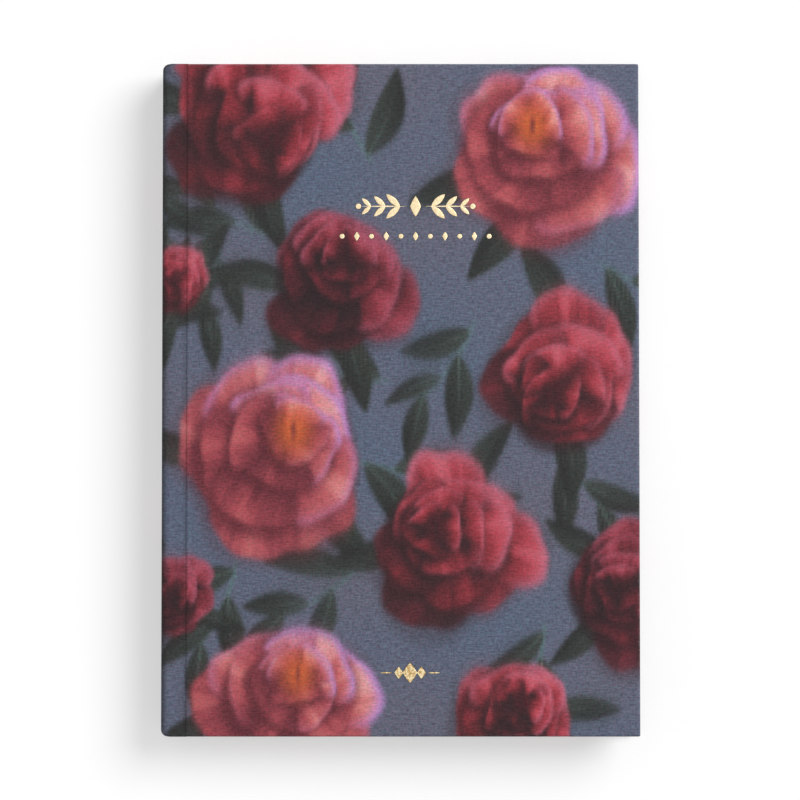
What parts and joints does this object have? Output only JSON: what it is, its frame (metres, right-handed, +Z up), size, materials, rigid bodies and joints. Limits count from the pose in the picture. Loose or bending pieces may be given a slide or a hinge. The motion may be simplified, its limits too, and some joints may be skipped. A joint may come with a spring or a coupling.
{
  "type": "weekly planner",
  "caption": "Hardcover planner with cloth-covered boards, a flat spine and sewn sections; its cover, leaves and spine open on hinges.",
  "frame": {"origin": "middle of the closed planner's footprint, on the surface that it lies on", "axes": "+X from the spine to the fore-edge, +Y from the tail to the head, +Z up from the back cover to the front cover"},
  "size_m": [0.1526, 0.215, 0.0185],
  "materials": {
    "cover_cloth": "fine linen weave, printed, matt",
    "board": "pressed greyboard",
    "page": "uncoated writing paper, trimmed",
    "endpaper": "heavier uncoated paper",
    "lining_paper": "brown kraft paper",
    "mull": "open glued gauze",
    "sewing_thread": "waxed thread",
    "silk_band": "striped woven band",
    "gold_foil": "hot-stamped metallic foil"
  },
  "bodies": {
    "back_cover": {"back_cover_cloth": "cover_cloth", "back_board": "board", "back_mull_flap": "mull", "back_pastedown": "endpaper", "back_endpaper_fold": "endpaper", "back_flyleaf": "endpaper", "section_07_leaves": "page", "section_08_leaves": "page", "section_09_leaves": "page", "section_10_leaves": "page", "section_11_leaves": "page", "section_12_leaves": "page", "section_13_leaves": "page"},
    "spine": {"spine_cloth": "cover_cloth", "spine_board": "board", "spine_lining": "lining_paper", "spine_mull": "mull", "headband": "silk_band", "tailband": "silk_band", "sewing_thread_1": "sewing_thread", "sewing_thread_2": "sewing_thread", "sewing_thread_3": "sewing_thread", "sewing_thread_4": "sewing_thread", "section_01_fold": "page", "section_02_fold": "page", "section_03_fold": "page", "section_04_fold": "page", "section_05_fold": "page", "section_06_fold": "page", "section_07_fold": "page", "section_08_fold": "page", "section_09_fold": "page", "section_10_fold": "page", "section_11_fold": "page", "section_12_fold": "page", "section_13_fold": "page"},
    "front_pages": {"front_joint_cloth": "cover_cloth", "front_endpaper_fold": "endpaper", "section_01_leaves": "page", "section_02_leaves": "page", "section_03_leaves": "page", "section_04_leaves": "page", "section_05_leaves": "page", "section_06_leaves": "page"},
    "front_cover": {"front_cover_cloth": "cover_cloth", "front_board": "board", "front_mull_flap": "mull", "front_pastedown": "endpaper"},
    "loose_flyleaf": {"front_flyleaf": "endpaper"}
  },
  "joints": [
    {"name": "spine_hinge", "type": "hinge", "parent": "back_cover", "child": "spine", "pos_m": [-0.0763, 0, -0.00005], "axis": [0, -1, 0], "range_deg": [0, 90]},
    {"name": "front_half_hinge", "type": "hinge", "parent": "spine", "child": "front_pages", "pos_m": [-0.0763, 0, 0.01855], "axis": [0, -1, 0], "range_deg": [0, 90]},
    {"name": "front_cover_hinge", "type": "hinge", "parent": "front_pages", "child": "front_cover", "pos_m": [-0.06855, 0, 0.01855], "axis": [0, 1, 0], "range_deg": [-179, 0]},
    {"name": "flyleaf_turn", "type": "hinge", "parent": "front_pages", "child": "loose_flyleaf", "pos_m": [-0.06897, 0, 0.01495], "axis": [0, 1, 0], "range_deg": [-45, 0]}
  ],
  "couplings": [
    {"joint": "flyleaf_turn", "follows": "front_cover_hinge", "ratio": 0.25}
  ]
}
